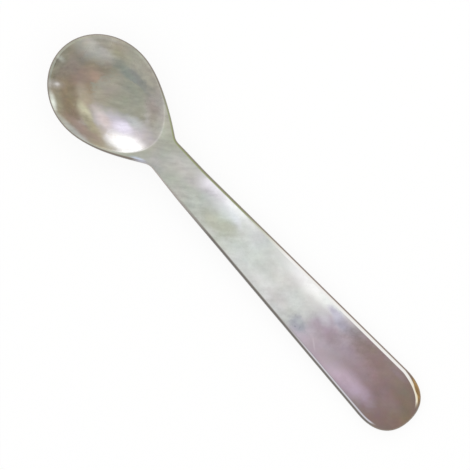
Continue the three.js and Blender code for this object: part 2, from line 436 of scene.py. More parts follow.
# The golden layer lies on the +Y side, and thins out to nothing at both of its ends
gold_start = GOLD_FIRST_ROW / HANDLE_ROWS
gold_stop = GOLD_LAST_ROW / HANDLE_ROWS
gold_run = add(skin, "ShaderNodeMapRange", [handle_run, gold_start, gold_stop, 0.0, math.pi])
gold_swell = add(skin, "ShaderNodeMath", [gold_run], operation="SINE")
gold_side = add(skin, "ShaderNodeMath", [side, 0.0], operation="GREATER_THAN")
gold = add(skin, "ShaderNodeMath", [gold_swell, gold_side], operation="MULTIPLY", use_clamp=True)
layered = add(
    skin,
    "GeometryNodeGroup",
    {"Outline": outline, "Outward": outward, "Gold": gold},
    node_tree=layer_edge,
).outputs
plain = add(
    skin,
    "GeometryNodeGroup",
    {"Outline": outline, "Outward": outward, "Gold": 0.0},
    node_tree=layer_edge,
).outputs

# Top: the hollow's floor in the bowl, and the flat face beyond it
LAND_ROWS = 24  # over which the flat face opens out behind the hollow
LAND_FILL = 0.8
land = add(
    skin,
    "ShaderNodeMapRange",
    [handle_run, 0.0, LAND_ROWS / HANDLE_ROWS],
    interpolation_type="SMOOTHSTEP",
)
land_edge = add(
    skin, "ShaderNodeVectorMath", [plain["Bottom"], (1, LAND_FILL, 0)], operation="MULTIPLY"
)
inner = add(
    skin, "ShaderNodeMix", [land, guides["Hollow edge"]["Position"], land_edge], data_type="VECTOR"
)
hollow_x = add(skin, "ShaderNodeSeparateXYZ", [guides["Hollow edge"]["Position"]])
from_deepest = add(
    skin, "ShaderNodeMath", [hollow_x, given["Hollow widest from tip"]], operation="SUBTRACT"
)
in_front = add(skin, "ShaderNodeMath", [from_deepest, 0.0], operation="LESS_THAN")
reach = add(
    skin, "ShaderNodeMix", [in_front, given["Hollow back reach"], given["Hollow front reach"]]
)
share = add(skin, "ShaderNodeMath", [from_deepest, reach], operation="DIVIDE")
share_squared = add(skin, "ShaderNodeMath", [share, share], operation="MULTIPLY")
along_floor = add(skin, "ShaderNodeMath", [share_squared, 1.0], operation="SUBTRACT")
across_squared = add(skin, "ShaderNodeMath", [over_top, over_top], operation="MULTIPLY")
across_floor = add(skin, "ShaderNodeMath", [1.0, across_squared], operation="SUBTRACT")
bowl_form = add(skin, "ShaderNodeMath", [along_floor, across_floor], operation="MULTIPLY")
floor_height = add(
    skin, "ShaderNodeMath", [bowl_form, given["Hollow depth"]], operation="MULTIPLY"
)

# Ripples that the grinding wheel left inside the rim, at the front on the -Y side
ripple_turn = add(
    skin, "ShaderNodeMath", [given["Ripples in a half"], 2 * math.pi], operation="MULTIPLY"
)
ripple_angle = add(skin, "ShaderNodeMath", [bowl_run, ripple_turn], operation="MULTIPLY")
ripple_wave = add(skin, "ShaderNodeMath", [ripple_angle], operation="SINE")
ripple = add(skin, "ShaderNodeMath", [ripple_wave, given["Ripple height"]], operation="MULTIPLY")
for value, start, stop in (
    (over_top, 0.6, 0.9),
    (over_top, 1.0, 0.92),
    (bowl_run, 0.5, 0.3),
    (side, 0.0, -1.0),
):
    fade = add(skin, "ShaderNodeMapRange", [value, start, stop, 0.0, 1.0])
    ripple = add(skin, "ShaderNodeMath", [ripple, fade], operation="MULTIPLY")
rippled = add(skin, "ShaderNodeMath", [floor_height, ripple])

top_plan = add(
    skin,
    "ShaderNodeVectorMath",
    [inner, add(skin, "ShaderNodeCombineXYZ", {"X": 1.0, "Y": over_top})],
    operation="MULTIPLY",
)
top = add(
    skin,
    "ShaderNodeVectorMath",
    [top_plan, add(skin, "ShaderNodeCombineXYZ", {"Z": rippled})],
)

# Edge: its upper part, and then its lower part or the seam under the golden layer
to_bottom = add(skin, "ShaderNodeMath", [math.pi, layered["Seam angle"]], operation="SUBTRACT")
upper_angle = add(
    skin, "ShaderNodeMath", [upper_edge, layered["Seam angle"]], operation="MULTIPLY"
)
lower_angle = add(skin, "ShaderNodeMath", [lower_edge, to_bottom], operation="MULTIPLY")
angle = add(skin, "ShaderNodeMath", [upper_angle, lower_angle])
outside = add(
    skin,
    "GeometryNodeGroup",
    {
        "Outline": outline,
        "Outward": outward,
        "Round": layered["Round"],
        "Thickness": layered["Thickness"],
        "Angle": angle,
    },
    node_tree=half_round,
)
seam = add(
    skin,
    "ShaderNodeMix",
    [lower_edge, layered["Seam top"], layered["Foot"]],
    data_type="VECTOR",
)
sunk = add(skin, "ShaderNodeMath", [gold], operation="SQRT")
below_seam = add(skin, "ShaderNodeMath", [lower_edge, 0.0], operation="GREATER_THAN")
seam_share = add(skin, "ShaderNodeMath", [sunk, below_seam], operation="MULTIPLY")
edge = add(skin, "ShaderNodeMix", [seam_share, outside, seam], data_type="VECTOR")
over_front = add(skin, "ShaderNodeMix", [over_rim, top, edge], data_type="VECTOR")

# Lip: the hollow's edge is polished round, so the faces dip towards it
lip_line = add(skin, "GeometryNodeObjectInfo", {"Object": given["Hollow edge"]}).outputs["Geometry"]
lip_line = add(skin, "GeometryNodeCurveToMesh", {"Curve": lip_line})
in_plan = add(skin, "ShaderNodeVectorMath", [over_front, (1, 1, 0)], operation="MULTIPLY")
to_lip = add(
    skin,
    "GeometryNodeProximity",
    {"Geometry": lip_line, "Sample Position": in_plan},
    target_element="EDGES",
).outputs["Distance"]
lip_share = add(skin, "ShaderNodeMapRange", [to_lip, 0.0, given["Lip width"], 1.0, 0.0])
lip_squared = add(skin, "ShaderNodeMath", [lip_share, lip_share], operation="MULTIPLY")
lip_dip = add(skin, "ShaderNodeMath", [lip_squared, given["Lip dip"]], operation="MULTIPLY")
front = add(
    skin,
    "ShaderNodeVectorMath",
    [over_front, add(skin, "ShaderNodeCombineXYZ", {"Z": lip_dip})],
    operation="SUBTRACT",
)

# Back: from the edge to the keel
keel_line = add(
    skin, "ShaderNodeVectorMath", [plain["Bottom"], (1, 0, 1)], operation="MULTIPLY"
)
back_line = add(skin, "ShaderNodeMix", [over_back, edge, keel_line], data_type="VECTOR")
back_place = add(skin, "ShaderNodeSeparateXYZ", [back_line])
at_back = add(skin, "GeometryNodeGroup", {"From tip": back_place}, node_tree=depths).outputs
from_keel = add(skin, "ShaderNodeMath", [1.0, over_back], operation="SUBTRACT")
from_keel_squared = add(skin, "ShaderNodeMath", [from_keel, from_keel], operation="MULTIPLY")
back_depth = add(skin, "ShaderNodeMix", [from_keel_squared, at_back["Keel"], at_back["Edge"]])
back_height = add(skin, "ShaderNodeMath", [back_depth, -1.0], operation="MULTIPLY")
back = add(
    skin,
    "ShaderNodeCombineXYZ",
    [back_place.outputs["X"], back_place.outputs["Y"], back_height],
)
on_back = add(skin, "ShaderNodeMath", [over_back, 0.0], operation="GREATER_THAN")
half_section = add(skin, "ShaderNodeMix", [on_back, front, back], data_type="VECTOR")
straight_section = add(
    skin,
    "ShaderNodeVectorMath",
    [half_section, add(skin, "ShaderNodeCombineXYZ", {"X": 1.0, "Y": side, "Z": 1.0})],
    operation="MULTIPLY",
)

# The spoon was sawn by eye, and its neck lies a little to one side
section_x = add(skin, "ShaderNodeSeparateXYZ", [straight_section])
past_neck = add(skin, "ShaderNodeMath", [section_x, given["Neck from tip"]], operation="SUBTRACT")
from_neck = add(skin, "ShaderNodeMath", [past_neck], operation="ABSOLUTE")
sway = add(
    skin,
    "ShaderNodeMapRange",
    [from_neck, 0.0, given["Sway run"], given["Neck sway"], 0.0],
    interpolation_type="SMOOTHSTEP",
)
section = add(
    skin,
    "ShaderNodeVectorMath",
    [straight_section, add(skin, "ShaderNodeCombineXYZ", {"Y": sway})],
)

# The finish needs to know the hollow from the flat face, and how far a point lies round the edge:
# as a share of the half round, and in mm of width, which is negative on the flat face, rises
# outward from its border and goes on rising round the underside
in_bowl = add(skin, "ShaderNodeMath", [land, 0.001], operation="LESS_THAN")
inside_rim = add(skin, "ShaderNodeMath", [over_rim, 0.001], operation="LESS_THAN")
hollow_mark = add(skin, "ShaderNodeMath", [in_bowl, inside_rim], operation="MULTIPLY")
edge_share = add(skin, "ShaderNodeMath", [angle, math.pi], operation="DIVIDE")
past_side = add(skin, "ShaderNodeMath", [edge_share, 0.5], operation="SUBTRACT")
way_back = add(skin, "ShaderNodeMath", [past_side], operation="SIGN")
sine = add(skin, "ShaderNodeMath", [angle], operation="SINE")
from_side = add(skin, "ShaderNodeMath", [1.0, sine], operation="SUBTRACT")
rounds = add(skin, "ShaderNodeMath", [way_back, from_side, 1.0], operation="MULTIPLY_ADD")
round_mm = add(skin, "ShaderNodeMath", [layered["Round"], MM], operation="DIVIDE")
to_border = add(skin, "ShaderNodeVectorMath", [edge, over_front], operation="DISTANCE").outputs["Value"]
to_border_mm = add(skin, "ShaderNodeMath", [to_border, MM], operation="DIVIDE")
round_edge_mm = add(skin, "ShaderNodeMath", [rounds, round_mm], operation="MULTIPLY")
edge_mm = add(skin, "ShaderNodeMath", [round_edge_mm, to_border_mm], operation="SUBTRACT")
marked = grid
marks = {"hollow": hollow_mark, "lip": lip_share, "edge_share": edge_share, "edge_mm": edge_mm}
for name, mark in marks.items():
    marked = add(
        skin, "GeometryNodeStoreNamedAttribute", {"Geometry": marked, "Name": name, "Value": mark}
    )
lofted = add(skin, "GeometryNodeSetPosition", {"Geometry": marked, "Position": section})
closed = add(skin, "GeometryNodeMergeByDistance", {"Geometry": lofted, "Distance": 0.001 * MM})
uneven = add(skin, "GeometryNodeGroup", {"Skin": closed}, node_tree=hand_ground)
smooth = add(skin, "GeometryNodeSetShadeSmooth", {"Geometry": uneven, "Shade Smooth": True})
realized = add(skin, "GeometryNodeRealizeInstances", {"Geometry": smooth})
finished = add(skin, "GeometryNodeSetMaterial", {"Geometry": realized, "Material": given["Nacre"]})
add(skin, "NodeGroupOutput", {"Mesh": finished})


def colour(code):
    """An sRGB hex code such as 8C7D6E as a linear colour."""
    channels = [int(code[i:i + 2], 16) / 255 for i in (0, 2, 4)]
    linear = [c / 12.92 if c <= 0.04045 else ((c + 0.055) / 1.055) ** 2.4 for c in channels]
    return (*linear, 1.0)


# Polished nacre of the pearl oyster: aragonite in thin layers.
# It looks cloudy and silvery, with soft pink, green and lavender patches where layers crop out,
# a wet gloss over a broad pearly sheen, and olive or brown edges where the layers are cut across.
# Light is painted into its colour too: a painted highlight in the hollow, painted reflection on the
# handle's face, painted glints and shade by the rim, a painted highlight on the lip, and painted highlight
# and shade along the edges.
nacre = bpy.data.materials.new("polished_nacre")
nacre.use_nodes = True
tree = nacre.node_tree
shader = tree.nodes["Principled BSDF"]
coordinates = add(tree, "ShaderNodeTexCoord").outputs["Object"]
in_mm = add(
    tree,
    "ShaderNodeMapping",
    {"Vector": coordinates, "Location": (LENGTH / 2 / MM, 0, 0), "Scale": (1 / MM,) * 3},
)
hollow_mask = add(tree, "ShaderNodeAttribute", attribute_name="hollow").outputs["Fac"]
lip_share = add(tree, "ShaderNodeAttribute", attribute_name="lip").outputs["Fac"]
edge_share = add(tree, "ShaderNodeAttribute", attribute_name="edge_share").outputs["Fac"]
edge_mm = add(tree, "ShaderNodeAttribute", attribute_name="edge_mm").outputs["Fac"]

# Growth clouds shift and feather out every patch
CLOUD_MM = 9
CLOUD_SHIFT_MM = 3.5
MOTTLE_MM = 4
STREAK_MM = 0.9
STREAK_STRETCH = 6
STREAK_TURN = math.radians(42)
FEATHER_BY_MOTTLE = 1.2
FEATHER_BY_STREAKS = 0.4
cloud = add(
    tree,
    "ShaderNodeTexNoise",
    {"Vector": in_mm, "Scale": 1 / CLOUD_MM, "Detail": 4.0, "Roughness": 0.6},
)
cloud_centred = add(
    tree, "ShaderNodeVectorMath", [cloud.outputs["Color"], (0.5, 0.5, 0.5)], operation="SUBTRACT"
)
clouded = add(
    tree,
    "ShaderNodeVectorMath",
    [cloud_centred, (CLOUD_SHIFT_MM, CLOUD_SHIFT_MM, 0), in_mm],
    operation="MULTIPLY_ADD",
)
mottle = add(
    tree,
    "ShaderNodeTexNoise",
    {"Vector": in_mm, "Scale": 1 / MOTTLE_MM, "Detail": 4.0, "Roughness": 0.7},
)
along_streaks = add(
    tree,
    "ShaderNodeMapping",
    {"Vector": clouded, "Rotation": (0, 0, STREAK_TURN), "Scale": (STREAK_STRETCH, 1, 1)},
    vector_type="TEXTURE",
)
streaks = add(
    tree,
    "ShaderNodeTexNoise",
    {"Vector": along_streaks, "Scale": 1 / STREAK_MM, "Detail": 2.0},
)
to_centre = -(FEATHER_BY_MOTTLE + FEATHER_BY_STREAKS) / 2
feather = add(tree, "ShaderNodeMath", [mottle, FEATHER_BY_MOTTLE, to_centre], operation="MULTIPLY_ADD")
feather = add(tree, "ShaderNodeMath", [streaks, FEATHER_BY_STREAKS, feather], operation="MULTIPLY_ADD")


def patch(under, centre, reach, turn, softness, code, strength=1.0, cloudy=True):
    """Lays a soft patch of one colour over the colour under it. Sizes in mm, turn in degrees."""
    local = add(
        tree,
        "ShaderNodeMapping",
        {
            "Vector": clouded if cloudy else in_mm,
            "Location": (*centre, 0),
            "Rotation": (0, 0, math.radians(turn)),
            "Scale": (*reach, 1000),
        },
        vector_type="TEXTURE",
    )
    distance = add(tree, "ShaderNodeVectorMath", [local], operation="LENGTH").outputs["Value"]
    if cloudy:
        distance = add(tree, "ShaderNodeMath", [distance, feather])
    mask = add(
        tree,
        "ShaderNodeMapRange",
        [distance, 1 - softness, 1 + softness, strength, 0.0],
        interpolation_type="SMOOTHSTEP",
    )
    return add(tree, "ShaderNodeMix", [mask, under, colour(code)], data_type="RGBA")


# Flat face: silvery towards the bowl, mauve and then brown towards the handle's end; partly the nacre's
# own colour and partly painted reflection of the bright and dark surroundings that the polished face
# mirrors
FACE_SLANT = -0.4
FACE_FEATHER_MM = 5
cloudy_place = add(tree, "ShaderNodeSeparateXYZ", [clouded]).outputs
slanted = add(
    tree, "ShaderNodeMath", [cloudy_place["Y"], FACE_SLANT, cloudy_place["X"]], operation="MULTIPLY_ADD"
)
feathered = add(tree, "ShaderNodeMath", [feather, FACE_FEATHER_MM, slanted], operation="MULTIPLY_ADD")
run = add(tree, "ShaderNodeMath", [feathered, LENGTH / MM], operation="DIVIDE")
face = add(tree, "ShaderNodeValToRGB", [run], stops=[
    (place_mm * MM / LENGTH, colour(code)) for place_mm, code in (
        (0, "A8A596"),
        (28, "B0B1A4"),
        (34, "A9AC9E"),
        (42, "B3B4AD"),
        (54, "C4C7BD"),
        (64, "D5D8D4"),
        (82, "D3D5D1"),
        (85.5, "CDCDCB"),
        (87.5, "BFB4BD"),
        (94, "B2A0AA"),
        (101, "9C8B8F"),
        (108, "8B7877"),
        (117, "785F57"),
    )
])
for spot in (
    ((39.5, 1.8), (4, 2.4), 20, 0.8, "C3C1BA"),  # pale neck
    # Painted sheen: the next five patches are painted reflection on the polished face by its upper edge
    ((53, 3.2), (7, 1.8), 0, 0.9, "ECEDEE", 0.8),  # broad sheen
    ((46, 1.6), (4, 0.8), 25, 0.8, "BEBBBA"),  # its start
    ((48.2, 3.5), (3.4, 1.3), 12, 0.9, "EFE8F1", 0.8, False),  # its lavender part
    ((56, 2.8), (3.6, 0.9), -26, 0.8, "E8EAED"),  # its tail
    ((54, 4.4), (6, 1.2), 2, 0.9, "FFFFFF", 0.9, False),  # its bright upper edge
    ((55, -1.2), (4.4, 1.8), 15, 0.7, "BEC0AF"),  # green patch
    ((72.5, -3), (4, 1.5), 5, 0.8, "DEE0DD"),  # pale lower side
    # Painted reflection: the white upper side is a painted highlight on the polished face
    ((82, 5.0), (9, 2.0), 3, 0.7, "FCFDFC"),  # white upper side
    ((79.5, -3.2), (4, 1.6), 0, 0.8, "C9C9C3", 0.7),  # grey lower side
    ((84.8, -3.6), (2.0, 1.8), 0, 0.5, "A8A7AF", 0.9),  # blue-grey spot
    ((84.9, -3.1), (0.7, 0.6), 0, 0.6, "BCBFC1", 0.8, False),  # its paler middle
    ((85.1, -4.6), (0.22, 0.16), 20, 0.8, "7C7D84", 0.7, False),  # speck
    ((86.1, -4.0), (0.12, 0.3), 15, 0.8, "8E8F96", 0.6, False),  # speck
    ((93, 0.7), (5.5, 1.9), 8, 0.8, "A38E99"),  # mauve band
    ((87.8, 1.8), (2.2, 0.9), -20, 1.0, "CFCCD0", 0.8),  # its pale border
    ((93, 4.5), (3.6, 1.3), 6, 0.7, "AAA0B3"),  # lavender upper side
    ((89.2, 4.7), (2.2, 1.0), 10, 0.7, "CDC7D8"),  # its pale start
    ((91.2, -4.2), (1.2, 0.16), -35, 1.0, "D6CAD2", 0.4, False),  # scratch
    ((102, -4.8), (7, 1.9), 4, 0.7, "BFABBC", 0.9),  # pink lower side
    # The brown end and brown upper side are partly the nacre's own colour and partly painted reflection of
    # dark surroundings
    ((114, 2.8), (6, 3.6), 0, 0.8, "745D50"),  # brown end
    ((104, 4), (8, 2.6), -5, 0.8, "85736D"),  # brown upper side
    ((110, 5.4), (2.2, 0.5), 10, 0.8, "8C7A80", 0.6),  # lavender trace
    ((112, -0.4), (4, 1.6), 0, 0.8, "88726C", 0.8),  # warm middle of the end
    ((7, -9.5), (6, 4), -30, 0.5, "8E8B7E"),  # grey rim
):
    face = patch(face, *spot)

# Hollow: brown at the front, a pale cloud with a feathered edge, and a painted highlight with a lavender
# halo at the rear
bowl = add(tree, "ShaderNodeRGB")
bowl.outputs[0].default_value = colour("A29C8E")
for spot in (
    ((28.4, 1.6), (6, 8), 0, 0.6, "AAA8A1"),  # grey rear
    ((8, -2), (8, 8), 0, 0.5, "887B67"),  # brown front
    ((3.6, -2), (2.8, 3.6), 0, 0.7, "8B8572"),  # grey tip
    ((9.3, 0), (3, 3), 0, 0.7, "948371"),  # warm brown
    ((10.3, 1), (1.6, 1.2), 0, 0.6, "A38D79"),  # pink spot
    ((6.5, 7.2), (5.2, 3.0), 38, 0.6, "B8B6AF"),  # blue-grey sheen
    ((9, 8.8), (5, 1.2), 20, 0.6, "A19D8B"),  # olive wall
    ((16, 10.2), (7, 1.5), -3, 0.6, "A7A395"),  # pale wall
    ((16.5, 7.4), (5, 1.5), 3, 0.6, "858882"),  # dark blue band
    ((18.4, 0.5), (7.4, 6.2), 0, 0.12, "9D9C8C"),  # pale cloud
    ((25, 5.6), (3, 1.4), -30, 0.8, "9F968C"),  # pink wall
    ((12, -4.1), (3, 1.5), -20, 0.6, "A79D8C"),  # lower edge of the cloud
    # Painted highlight: the lavender halo round the hollow's highlight, with its pink front and pale top
    ((23.2, -2.8), (6.6, 2.4), 20, 0.7, "D3CED8"),  # lavender sheen
    ((18.4, -4.8), (2.6, 1.1), -8, 0.7, "DACDCB"),  # its pink front
    ((24.4, 0.2), (2.2, 1.1), 10, 0.7, "BFC1C2"),  # its pale top
    ((10.5, -8), (6, 2.4), -25, 0.6, "827558"),  # golden brown
    ((15.2, -6.7), (2.8, 0.9), -20, 0.7, "CAC9AC"),  # yellow streak
    ((19, -8), (4.5, 1), -8, 0.6, "A09A7C"),  # olive streak
    ((19, -9.8), (6, 1.0), 10, 0.6, "9B8C78"),  # brown lower wall
    # Painted highlight: the white core of the hollow's highlight and a lavender gleam beside it
    ((27.5, -4.5), (4.5, 2.1), 20, 0.6, "FFFEFF"),  # white sheen
    ((23.3, -2.6), (2.0, 1.2), 20, 0.7, "F4EEFF"),  # lavender gleam
):
    bowl = patch(bowl, *spot)
pearl = add(tree, "ShaderNodeMix", [hollow_mask, face, bowl], data_type="RGBA")

# Back: the layers crop out across it as soft bands, a little darker and warmer than the face
BAND_MM = 7
BAND_STRETCH = 4
BAND_TURN = math.radians(-20)
BAND_SHARE = 0.7  # of the bands over the face's own colours
across_bands = add(
    tree,
    "ShaderNodeMapping",
    {"Vector": clouded, "Rotation": (0, 0, BAND_TURN), "Scale": (1, BAND_STRETCH, 1)},
    vector_type="TEXTURE",
)
bands = add(
    tree, "ShaderNodeTexNoise", {"Vector": across_bands, "Scale": 1 / BAND_MM, "Detail": 3.0}
)
banded = add(tree, "ShaderNodeValToRGB", [bands], stops=[
    (0.32, colour("6F6654")),
    (0.42, colour("8C8672")),
    (0.5, colour("9B988A")),
    (0.57, colour("958A88")),
    (0.68, colour("A9A8A0")),
])
back = add(tree, "ShaderNodeMix", [BAND_SHARE, pearl, banded], data_type="RGBA")

# Painted glints by the rim, a painted shade below the tip's glint and a painted blue gleam on the neck,
# standing for light caught where the grinding wheel left facets in the pearly layers
for spot in (
    ((8.6, -9.7), (2.6, 1.1), -30, 1.0, "A9A592", 0.5),  # halo of the long glint
    ((8.0, -10.5), (1.8, 0.55), -30, 1.0, "F4F9EE"),  # long glint
    ((4.7, -7.5), (1.8, 0.8), 38, 1.0, "C2BDB6", 0.6),  # halo of the round glint
    ((5.4, -6.9), (0.5, 0.35), 38, 1.0, "E8E6E2", 0.7),  # round glint
    ((1.6, -2.2), (1.0, 0.5), 10, 1.0, "BFC2B8", 0.6),  # glint at the tip
    ((1.7, -3.0), (0.6, 0.3), 10, 1.0, "6F685C", 0.7),  # shade below it
    ((15.5, -11.5), (4.5, 0.5), 3, 1.0, "B7BAAF", 0.9),  # pale rim
    ((31.4, -5.1), (1.5, 0.5), 28, 0.9, "D3DDF6"),  # blue gleam on the neck
):
    pearl = patch(pearl, *spot, cloudy=False)

# Painted highlight: a pale line on the polished lip behind the hollow, where it would catch the light
LIP_LIGHT = 0.4
in_mm_parts = add(tree, "ShaderNodeSeparateXYZ", [in_mm]).outputs
lip_end = add(tree, "ShaderNodeMapRange", [in_mm_parts["X"], 24.0, 29.0, 0.0, LIP_LIGHT])
lip_thin = add(tree, "ShaderNodeMath", [lip_share, 2.0], operation="POWER")
lip_light = add(tree, "ShaderNodeMath", [lip_thin, lip_end], operation="MULTIPLY")
pearl = add(tree, "ShaderNodeMix", [lip_light, pearl, colour("DDDED6")], data_type="RGBA")
back_mask = add(tree, "ShaderNodeMapRange", [edge_share, 0.85, 1.0, 0.0, 1.0])
pearl = add(tree, "ShaderNodeMix", [back_mask, pearl, back], data_type="RGBA")

# Soft pink, green and blue tints, mottling, and streaks that show most on the neck
TINT = 0.12
NECK_STREAKS = 0.55
OTHER_STREAKS = 0.2
MOTTLING = 0.64
tinted = add(
    tree, "ShaderNodeVectorMath", [cloud_centred, (TINT,) * 3, pearl], operation="MULTIPLY_ADD"
)
streak_share = add(
    tree, "ShaderNodeMapRange", [in_mm_parts["X"], 38.0, 66.0, NECK_STREAKS, OTHER_STREAKS]
)
streak_tone = add(tree, "ShaderNodeMath", [streaks, 0.5], operation="SUBTRACT")
streak_tone = add(tree, "ShaderNodeMath", [streak_tone, streak_share, 1.0], operation="MULTIPLY_ADD")
mottle_tone = add(tree, "ShaderNodeMath", [mottle, MOTTLING, -MOTTLING / 2], operation="MULTIPLY_ADD")
tone = add(tree, "ShaderNodeMath", [streak_tone, mottle_tone])
toned = add(tree, "ShaderNodeVectorMath", [tinted], operation="SCALE")
tree.links.new(tone.outputs[0], toned.inputs["Scale"])

# Edges: the layers are cut across there and show as fine olive and brown lines, each at its mm of edge
# width. The pale parts of the white, cream and silver lines are painted highlights on the rounded edges,
# and the dark grey and silver parts on the -Y edge are partly the layers' own colour and partly painted
# shade
LINES_FROM_MM = -0.6
LINES_TO_MM = 1.4
in_lines = add(tree, "ShaderNodeMapRange", [edge_mm, LINES_FROM_MM, LINES_TO_MM])
lines = {}
for name, stops in {
    "rim": ((0.05, "9A9080", 0), (0.12, "8F8475", 0.9), (0.22, "786B60", 1), (0.5, "6E6458", 1)),
    "olive": (
        (0.14, "A9AF90", 0), (0.3, "98A175", 1), (0.48, "8A9160", 1),
        (0.58, "74694A", 1), (0.8, "6A5D45", 1),
    ),
    # Painted highlight: the pale parts of the white and cream lines, on the rounded +Y edge; their brown
    # outer parts are the layers' own colour
    "white": (
        (-0.2, "FBFAF8", 0), (-0.08, "FBFAF8", 1), (0.46, "F6F3EE", 1),
        (0.6, "7D6350", 1), (0.8, "6B5545", 1),
    ),
    "cream": (
        (-0.2, "F8F0DC", 0), (-0.06, "FAF3E2", 1), (0.42, "EAD9B0", 1),
        (0.5, "8F6B2C", 1), (0.8, "6F5020", 1),
    ),
    "neck": ((0.55, "A99A92", 0), (0.72, "A58F86", 0.8), (0.88, "7E6E66", 1)),
    # Painted shade and highlight on the -Y edge: the dark grey and dark silver parts are partly painted
    # shade, and the silver line's pale part is a painted highlight
    "grey": ((0.1, "8F8A82", 0), (0.3, "7A7269", 0.9), (0.5, "5C554C", 1), (0.85, "544D45", 1)),
    "silver": (
        (-0.15, "948B97", 0), (-0.05, "857A89", 0.7), (0.06, "D6D3D9", 1), (0.3, "CFCCD2", 1),
        (0.42, "655D55", 1), (0.8, "5A5249", 1),
    ),
    "end": ((0.45, "8F7D6C", 0), (0.65, "7E6B58", 1), (0.85, "6A5A48", 1)),
}.items():
    stops = [
        ((width - LINES_FROM_MM) / (LINES_TO_MM - LINES_FROM_MM), (*colour(code)[:3], cover))
        for width, code, cover in stops
    ]
    lines[name] = add(tree, "ShaderNodeValToRGB", [in_lines], stops=stops).outputs[:2]


def change_over(first, second, value, start, stop):
    """Goes over from one edge line to another between two values, in colour and in cover."""
    share = add(tree, "ShaderNodeMapRange", [value, start, stop, 0.0, 1.0])
    kinds = ("RGBA", "FLOAT")
    return [
        add(tree, "ShaderNodeMix", [share, *pair], data_type=kind)
        for *pair, kind in zip(first, second, kinds)
    ]


plus_line = change_over(lines["rim"], lines["olive"], in_mm_parts["X"], 22.0, 30.0)
plus_line = change_over(plus_line, lines["white"], in_mm_parts["X"], 57.0, 72.0)
plus_line = change_over(plus_line, lines["cream"], in_mm_parts["X"], 112.0, 115.0)
minus_line = change_over(lines["rim"], lines["neck"], in_mm_parts["X"], 30.0, 34.0)
minus_line = change_over(minus_line, lines["grey"], in_mm_parts["X"], 38.0, 56.0)
minus_line = change_over(minus_line, lines["silver"], in_mm_parts["X"], 80.0, 92.0)
side_line = change_over(minus_line, plus_line, in_mm_parts["Y"], -0.5, 0.5)
END_SLANT = -0.35
to_end = add(
    tree, "ShaderNodeMath", [in_mm_parts["Y"], END_SLANT, in_mm_parts["X"]], operation="MULTIPLY_ADD"
)
line, cover = change_over(side_line, lines["end"], to_end, 116.2, 117.8)
lined = add(tree, "ShaderNodeMix", [cover, toned, line], data_type="RGBA")
coloured = add(tree, "ShaderNodeMix", [back_mask, lined, toned], data_type="RGBA")

POLISH_MM = 6
polish = add(tree, "ShaderNodeTexNoise", {"Vector": in_mm, "Scale": 1 / POLISH_MM, "Detail": 1.0})
roughness = add(tree, "ShaderNodeMapRange", [polish, 0.3, 0.7, 0.24, 0.36])
bump = add(tree, "ShaderNodeBump", {"Strength": 0.1, "Distance": 0.02 * MM, "Height": streaks})
tree.links.new(coloured.outputs["Result"], shader.inputs["Base Color"])
tree.links.new(roughness.outputs[0], shader.inputs["Roughness"])
tree.links.new(bump.outputs[0], shader.inputs["Normal"])
shader.inputs["IOR"].default_value = 1.6
shader.inputs["Metallic"].default_value = 0.18
shader.inputs["Coat Weight"].default_value = 0.5
shader.inputs["Coat Roughness"].default_value = 0.18

body = grown(
    "polished_body",
    skin,
    {"Bowl side": bowl_side, "Handle side": handle_side, "Hollow edge": hollow_edge, "Nacre": nacre},
)

# The spoon lies on the underside of its bowl and the end of its handle
back_axis = Vector(frame["record"]["mounts"][0]["axis"])
taper = math.atan((NECK_THICKNESS - HANDLE_END_THICKNESS) / (LENGTH - NECK_FROM_TIP))
tilt = Matrix.Rotation(math.asin(-back_axis.x) + taper, 4, "Y")
body.data.transform(tilt)
lowest = [min(vertex.co[axis] for vertex in body.data.vertices) for axis in range(3)]
node_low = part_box("nacre_body")[0]
put_down = Matrix.Translation(Vector(node_low) - Vector(lowest))
body.data.transform(put_down)
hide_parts("nacre_body")
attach(body, "root")

# Golden outer layer: a remnant of the shell's golden-brown lip on the corner of the handle's end.
# It grew onto the nacre, and was ground and polished flush with it.
GOLD_COLUMNS = 30

golden_skin, given = new_tree(
    "golden_skin",
    {"Handle side": "Object", "Golden shell": "Material"},
    {"Mesh": "Geometry"},
)
ring_counts = (GOLD_COLUMNS, SEAM_COLUMNS, SEAM_COLUMNS)
grid = add(
    golden_skin,
    "GeometryNodeMeshGrid",
    {
        "Size X": 1.0,
        "Size Y": 1.0,
        "Vertices X": GOLD_LAST_ROW - GOLD_FIRST_ROW + 1,
        "Vertices Y": sum(ring_counts) + 1,
    },
)
place = add(golden_skin, "ShaderNodeSeparateXYZ", [add(golden_skin, "GeometryNodeInputPosition")])
handle_run = add(
    golden_skin,
    "ShaderNodeMapRange",
    [place.outputs["X"], -0.5, 0.5, gold_start, gold_stop],
)
gold_run = add(golden_skin, "ShaderNodeMapRange", [place.outputs["X"], -0.5, 0.5, 0.0, math.pi])
gold = add(golden_skin, "ShaderNodeMath", [gold_run], operation="SINE", use_clamp=True)
round_outside, over_back, up_seam = stretches(golden_skin, place.outputs["Y"], ring_counts, -0.5)
curve = add(golden_skin, "GeometryNodeObjectInfo", {"Object": given["Handle side"]}).outputs["Geometry"]
guide = add(
    golden_skin,
    "GeometryNodeSampleCurve",
    {"Curves": curve, "Factor": handle_run},
    mode="FACTOR",
    use_all_curves=True,
).outputs
outward = add(
    golden_skin, "ShaderNodeVectorMath", [(0, 0, 1), guide["Tangent"]], operation="CROSS_PRODUCT"
)
layered = add(
    golden_skin,
    "GeometryNodeGroup",
    {"Outline": guide["Position"], "Outward": outward, "Gold": gold},
    node_tree=layer_edge,
).outputs
on_edge = {
    "Outline": guide["Position"],
    "Outward": outward,
    "Round": layered["Round"],
    "Thickness": layered["Thickness"],
}
outside_angle = add(
    golden_skin, "ShaderNodeMapRange", [round_outside, 0.0, 1.0, layered["Seam angle"], math.pi]
)
outside = add(
    golden_skin, "GeometryNodeGroup", {**on_edge, "Angle": outside_angle}, node_tree=half_round
)
